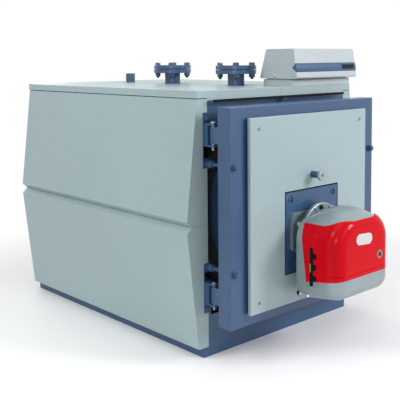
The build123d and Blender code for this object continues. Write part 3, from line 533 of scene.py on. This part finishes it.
# %% [markdown]
# ## Flange bolts
# Each blind flange is held down by four bolts. A bolt is a head with a washer above, a nut with a
# washer below, and a little thread that stands out of the nut. The thread is a stack of small ridges in
# one spun profile, which looks the same as a real helix at this size and has far fewer faces.

# %% Flange bolts
washer_height = 0.003
washer_radius = 0.0145
nut_flats = 0.024
head_height = 0.0100
nut_height = 0.0130
nut_chamfer = 0.0014
bolt_radius = 0.0080
bolt_end = 0.009
flange_disc = 0.018
bolt_circle = 0.0725


def washer(radius, height=washer_height):
    """A flat ring seen as a disc, because a bolt fills its hole."""
    edge = height * 0.25
    side = [(radius - edge, 0), (radius, edge), (radius, height - edge), (radius - edge, height)]
    return turned([(0, 0)] + side + [(0, height)])


def thread_end(radius, length, pitch=0.002):
    """A short length of screw thread as a stack of ridges, with a domed end."""
    profile = [(0, 0)]
    ridges = max(1, int(length / pitch))
    for ridge in range(ridges):
        profile += [(radius, (ridge + 0.15) * pitch), (radius * 0.88, (ridge + 0.85) * pitch)]
    profile += [(radius * 0.80, ridges * pitch), (0, ridges * pitch + radius * 0.15)]
    return turned(profile, steps=20)


flange_forms = []
for flange in ("supply", "return"):
    blind_low, blind_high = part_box(f"{flange}_blind_flange")
    centre = (Vector(blind_low) + Vector(blind_high)) / 2
    top = blind_high[2]
    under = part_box(f"{flange}_flange")[1][2] - flange_disc
    nut_top = under - washer_height
    for number in range(4):
        angle = math.radians(45 + 90 * number)
        x = centre.x + bolt_circle * math.cos(angle)
        y = centre.y + bolt_circle * math.sin(angle)
        twist = 0.3 * number
        head = hexagon(nut_flats, head_height, nut_chamfer)
        nut = hexagon(nut_flats, nut_height, nut_chamfer)
        flange_forms += [
            put(washer(washer_radius), (x, y, top)),
            put(head, (x, y, top + washer_height), up, twist),
            put(washer(washer_radius), (x, y, under), down),
            put(nut, (x, y, nut_top), down, twist + 0.4),
            put(thread_end(bolt_radius, bolt_end), (x, y, nut_top - nut_height), down),
        ]
piece("flange_bolts", flange_forms, "blue_steel", "boiler")

# %% [markdown]
# ## Screws in the sheet casing
# The rear panel and the control panel are held by small pan-head screws with a cross slot. The head is
# a grid pulled into a disc and domed. The slot is cut by pushing a cross of corners down into the head,
# so the light catches its walls.

# %% Casing screws
screw_radius = 0.005
screw_height = 0.0026


def pan_head(radius, height):
    """A low round screw head with a cross slot pressed into it."""
    form = bmesh.new()
    bmesh.ops.create_grid(form, x_segments=8, y_segments=8, size=radius)
    for corner in form.verts:
        flat = max(abs(corner.co.x), abs(corner.co.y))
        if flat > 0:
            corner.co *= flat / corner.co.length
    slot_width = radius * 0.2
    slot_reach = radius * 0.62
    slot_depth = height * 0.7
    rim_height = height * 0.3
    for corner in form.verts:
        x, y = abs(corner.co.x), abs(corner.co.y)
        away = corner.co.length / radius
        corner.co.z = height * (1 - away**3) if away < 0.99 else rim_height
        if min(x, y) < slot_width * 0.5 and max(x, y) < slot_reach:
            corner.co.z -= slot_depth
    rim = [edge for edge in form.edges if edge.is_boundary]
    wall = bmesh.ops.extrude_edge_only(form, edges=rim)
    for corner in wall["geom"]:
        if isinstance(corner, bmesh.types.BMVert):
            corner.co.z = 0.0
    bmesh.ops.holes_fill(form, edges=[edge for edge in form.edges if edge.is_boundary])
    bmesh.ops.recalc_face_normals(form, faces=form.faces)
    return form


housing_low, housing_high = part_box("control_housing")
housing_screw = (housing_low[1] + 0.129, housing_low[2] + 0.014)
screw_places = [
    ((housing_low[0], *housing_screw), left),
    ((housing_high[0], *housing_screw), right),
]
rear_low, rear_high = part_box("rear_panel")
rear_edge = 0.020
for height in (0.10, 0.38, 0.70, 1.00):
    for x in (rear_low[0] + rear_edge, rear_high[0] - rear_edge):
        screw_places.append(((x, rear_high[1], height), backward))
casing_screws = [
    put(pan_head(screw_radius, screw_height), place, facing) for place, facing in screw_places
]
piece("casing_screws", casing_screws, "zinc", "boiler")

# %% [markdown]
# ## Hinge fasteners
# Each hinge bracket is a fork on a foot, and the foot reaches outward, up from the upper fork and down
# from the lower one. One bolt holds each foot to the front plate, so the loop takes the outer end of
# each bracket.

# %% Hinge bolts
foot_thickness = 0.008
foot_end = 0.012
hinge_washer = 0.0016
hinge_head = 0.0064
hinge_forms = []
for bracket in ("upper", "lower"):
    low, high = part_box(f"hinge_bracket_{bracket}")
    x = (low[0] + high[0]) / 2
    foot_front = high[1] - foot_thickness
    height = high[2] - foot_end if bracket == "upper" else low[2] + foot_end
    head = hexagon(0.016, hinge_head, 0.0009)
    head_face = foot_front - hinge_washer
    hinge_forms += [
        put(washer(0.0095, hinge_washer), (x, foot_front, height), forward),
        put(head, (x, head_face, height), forward, 0.2),
        put(thread_end(0.0045, 0.005), (x, head_face - hinge_head, height), forward),
    ]
piece("hinge_bolts", hinge_forms, "blue_steel", "boiler")

# %% [markdown]
# ## Screws of the door and the burner plate
# A zinc screw sits on each stud of the door's casing panel. The burner's plate has a round recess at
# each corner, and a socket screw lies in each recess: a round head with a hexagon hole, which is made
# by an inset and a push.

# %% Door and plate screws
door_screw_radius = 0.0082
door_screw_height = 0.0042
stud_radius = 0.004
socket_radius = 0.0080
socket_height = 0.0040
socket_key = 0.008
recess_depth = 0.005
recess_offset = 0.135


def socket_head(radius, height, key):
    """A round screw head with a hexagon hole in its top."""
    form = drum(24, radius, height)
    top = max(form.faces, key=lambda face: face.calc_center_median().z)
    bmesh.ops.inset_region(form, faces=[top], thickness=radius - key / 2, use_even_offset=True)
    for corner in top.verts:
        angle = math.atan2(corner.co.y, corner.co.x)
        sector = (angle + math.pi) % (math.pi / 3) - math.pi / 6
        reach = key / 2 / math.cos(sector)
        corner.co.x, corner.co.y = reach * math.cos(angle), reach * math.sin(angle)
    hole = bmesh.ops.extrude_discrete_faces(form, faces=[top])["faces"]
    bmesh.ops.translate(form, verts=hole[0].verts[:], vec=(0, 0, -height * 0.6))
    rim = [
        edge
        for edge in form.edges
        if all(abs(end.co.z - height) < on_plane for end in edge.verts)
        and all(end.co.xy.length > radius * 0.99 for end in edge.verts)
    ]
    rounded(form, rim, radius * 0.12)
    bmesh.ops.recalc_face_normals(form, faces=form.faces)
    return form


casing_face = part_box("door_casing")[0][1]
stud_low, stud_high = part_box("casing_studs")
door_screws = []
for x in (stud_low[0] + stud_radius, stud_high[0] - stud_radius):
    for z in (stud_low[2] + stud_radius, stud_high[2] - stud_radius):
        screw = pan_head(door_screw_radius, door_screw_height)
        door_screws.append(put(screw, (x, casing_face, z), forward, 0.5))
piece("door_screws", door_screws, "zinc", "door")

plate_low, plate_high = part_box("burner_plate")
plate_middle = (Vector(plate_low) + Vector(plate_high)) / 2
recess_floor = plate_low[1] + recess_depth
plate_screws = []
for x in (-recess_offset, recess_offset):
    for z in (-recess_offset, recess_offset):
        place = (plate_middle.x + x, recess_floor, plate_middle.z + z)
        screw = socket_head(socket_radius, socket_height, socket_key)
        plate_screws.append(put(screw, place, forward))
piece("plate_screws", plate_screws, "blue_steel", "door")

# %% [markdown]
# ## Pin, flange bolts and clip on the burner
# A bright pin lies along the lower edge of the burner's back on the left, where the housing hinges
# open, with a rubber ring at its root. Three bolts show on the flange above the housing, and a small
# clip holds the housing to the mount. They are all spun or bevelled forms.

# %% Burner pin
body_low, body_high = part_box("burner_body")
pin_radius = 0.0075
pin_length = 0.045
pin_place = Vector((body_low[0] + pin_radius, body_high[1] - 0.012, body_low[2] + 0.0275))
neck_radius = pin_radius * 0.8
pin_profile = [
    (0, 0),
    (pin_radius * 0.85, 0),
    (pin_radius, 0.001),
    (pin_radius, 0.008),
    (neck_radius, 0.009),
    (neck_radius, 0.012),
    (pin_radius, 0.013),
    (pin_radius, pin_length - 0.002),
    (pin_radius * 0.7, pin_length),
    (0, pin_length),
]
ring_profile = [
    (0, -0.010),
    (pin_radius * 1.15, -0.010),
    (pin_radius * 1.2, -0.002),
    (0, -0.001),
]
piece("burner_pin", [put(turned(pin_profile, 24), pin_place, forward)], "chrome", "door")
piece("burner_pin_ring", [put(turned(ring_profile, 24), pin_place, forward)], "black_rubber", "door")

# %% Burner flange bolts and clip
flange_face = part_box("burner_flange")[0][1]
bolt_x, bolt_z = -0.008, 0.5835
bolt_washer = 0.0016
bolt_head = 0.007
socket_sink = 0.006
head_back = flange_face - bolt_washer
head = hexagon(0.015, bolt_head, 0.0010)
burner_bolts = [
    put(washer(0.0100, bolt_washer), (bolt_x, flange_face, bolt_z), forward),
    put(head, (bolt_x, head_back, bolt_z), forward, 0.3),
    put(thread_end(0.0045, 0.004), (bolt_x, head_back - bolt_head, bolt_z), forward),
]
for x, z in ((-0.056, 0.573), (0.038, 0.574)):
    screw = socket_head(0.0055, 0.0050, 0.006)
    burner_bolts.append(put(screw, (x, flange_face + socket_sink, z), forward))
piece("burner_flange_bolts", burner_bolts, "black_oxide", "door")

clip_base = block((0.050, 0.010, 0.012), 0.003)
clip_ear = block((0.012, 0.016, 0.018), 0.004)
clip_forms = [
    put(clip_base, (-0.112, flange_face + 0.012, 0.522)),
    put(clip_ear, (-0.134, flange_face + 0.010, 0.520)),
]
piece("burner_clip", clip_forms, "burner_casting", "door")

# %% [markdown]
# ## Knob pointers and the green mark
# On its left the hood carries a strip with three knobs. Each knob gets a pointer ridge, turned a little
# from upright, and a green mark lies along the strip between them.

# %% Knob pointers and mark
casing_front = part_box("side_panel_upper_left")[0][1]
controls_low, controls_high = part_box("burner_controls")
knob_depth = 0.318
mark_depth = 0.3015
mark_height = 0.373
pointers = []
for height in (0.333, 0.377, 0.421):
    place = (controls_low[0] + 0.0006, casing_front - knob_depth, height)
    ridge = block((0.0035, 0.017, 0.0035), 0.0008, 2)
    pointers.append(put(ridge, place, left, math.radians(35)))
piece("knob_pointers", pointers, "black_rubber", "door")

mark_place = (controls_high[0] - 0.0025, casing_front - mark_depth, mark_height)
mark = put(block((0.034, 0.005, 0.0006), 0.0002, 1), mark_place, left, math.pi / 2)
piece("strip_mark", [mark], "green_mark", "door")

# %% [markdown]
# ## A dark window with a painted shadow, and a painted shade gap
# Two dark blocks finish the boiler's front: the window at the right end of the instrument strip, made
# taller than the window to paint the shadow above it too, and a black strip of painted shade that fills
# the shadowed gap under the top cover's front edge. Both have softened edges, because a sharp edge
# never catches the light.

# %% Window with painted shadow, and painted gap shade
strip_low, strip_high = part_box("control_strip")
# Painted shadow: the dark window block is made taller than the window, so it also paints the shadow
# above it.
window_and_shadow_place = (strip_high[0] - 0.060, strip_low[1] + 0.0085, 1.154)
window_and_shadow = put(block((0.086, 0.020, 0.0096), 0.0008, 1), window_and_shadow_place, forward)
piece("strip_window_and_shadow", [window_and_shadow], "black_oxide", "boiler")

front_low, front_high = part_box("front_plate")
# Painted shade: a black strip in the black rubber finish stands for the shadowed gap under the cover's
# front edge.
gap_shade_place = (-0.010, front_low[1] + 0.0005, front_high[2] - 0.0065)
gap_shade = put(block((0.824, 0.011, 0.0045), 0.001, 1), gap_shade_place, forward)
piece("cover_gap_shade", [gap_shade], "black_rubber", "boiler")

# %% [markdown]
# ## The studio
# The photograph has no floor line: the ground is as white as the backdrop. A flat floor takes the soft
# shadow near the boiler and fades into a plain white glow further out, so that nothing shows where it
# ends. The world is white too, to the eye and in reflections, but lights the boiler less.

# %% Floor and world
room_light = 0.40
floor_half = 30.0
white = (1.0, 1.0, 1.0, 1.0)


def backdrop_level(recipe):
    """White to the eye, in gloss and through glass, and calmer for the light that it sheds."""
    rays = recipe.node("ShaderNodeLightPath").socket.node.outputs
    seen = Wire(recipe, rays["Is Camera Ray"])
    for name in ("Is Glossy Ray", "Is Transmission Ray"):
        seen = recipe.math("MAXIMUM", seen, Wire(recipe, rays[name]))
    sockets = {"Value": seen, "To Min": room_light, "To Max": 1.0}
    return recipe.node("ShaderNodeMapRange", {}, sockets)


floor_form = bmesh.new()
bmesh.ops.create_grid(floor_form, x_segments=1, y_segments=1, size=floor_half)
floor_data = bpy.data.meshes.new("floor")
floor_form.to_mesh(floor_data)
floor_form.free()
floor = bpy.data.objects.new("floor", floor_data)
bpy.context.scene.collection.objects.link(floor)

ground = Finish("ground")
away = ground.node("ShaderNodeVectorMath", {"operation": "LENGTH"}, {0: ground.place}, output=1)
fade = away.soft_step(1.15, 2.2)
ground.set(Base_Color=(0.95, 0.95, 0.95, 1.0), Roughness=0.8)
glow_sockets = {"Color": white, "Strength": backdrop_level(ground)}
glow = ground.node("ShaderNodeEmission", {}, glow_sockets)
matt = Wire(ground, ground.shader.outputs[0])
blend = ground.node("ShaderNodeMixShader", {}, {0: fade, 1: matt, 2: glow})
ground.feed(ground.tree.nodes["Material Output"].inputs["Surface"], blend)
floor_data.materials.append(ground.material)

world = bpy.data.worlds.new("studio")
bpy.context.scene.world = world
world.use_nodes = True
sky = Recipe(world.node_tree)
backdrop = sky.tree.nodes["Background"]
sky.feed(backdrop.inputs["Strength"], backdrop_level(sky))
sky.feed(backdrop.inputs["Color"], white)
print("floor", 2 * floor_half, "m wide, room light", room_light)

# %% [markdown]
# ## Lamps
# Large, weak lamps round the boiler keep its pale faces below white and its shadows soft. The strongest
# stands at the right, because the door is the lightest face in the photograph.

# %% Lamps
middle = Vector((0.0, 0.0, 0.6))


def soft_lamp(name, place, size, power, colour=(1.0, 1.0, 1.0)):
    """A square area lamp that faces the boiler's middle."""
    data = bpy.data.lights.new(name, "AREA")
    data.color = colour
    data.size = size
    data.energy = power
    lamp = bpy.data.objects.new(name, data)
    bpy.context.scene.collection.objects.link(lamp)
    lamp.location = place
    lamp.rotation_euler = (middle - Vector(place)).to_track_quat("-Z", "Y").to_euler()


soft_lamp("top", (-0.8, -0.6, 4.2), 3.0, 28.0)
soft_lamp("left", (-3.3, 0.3, 3.3), 1.5, 58.0)
soft_lamp("camera_side", (-4.0, -3.2, 1.8), 1.2, 38.0)
soft_lamp("right", (2.4, -4.4, 2.8), 1.5, 170.0, (1.0, 0.97, 1.0))
soft_lamp("front", (0.4, -5.0, 2.4), 2.0, 20.0)
soft_lamp("rear", (1.0, 5.2, 3.2), 2.5, 70.0)
print("lamps", len(bpy.data.lights))
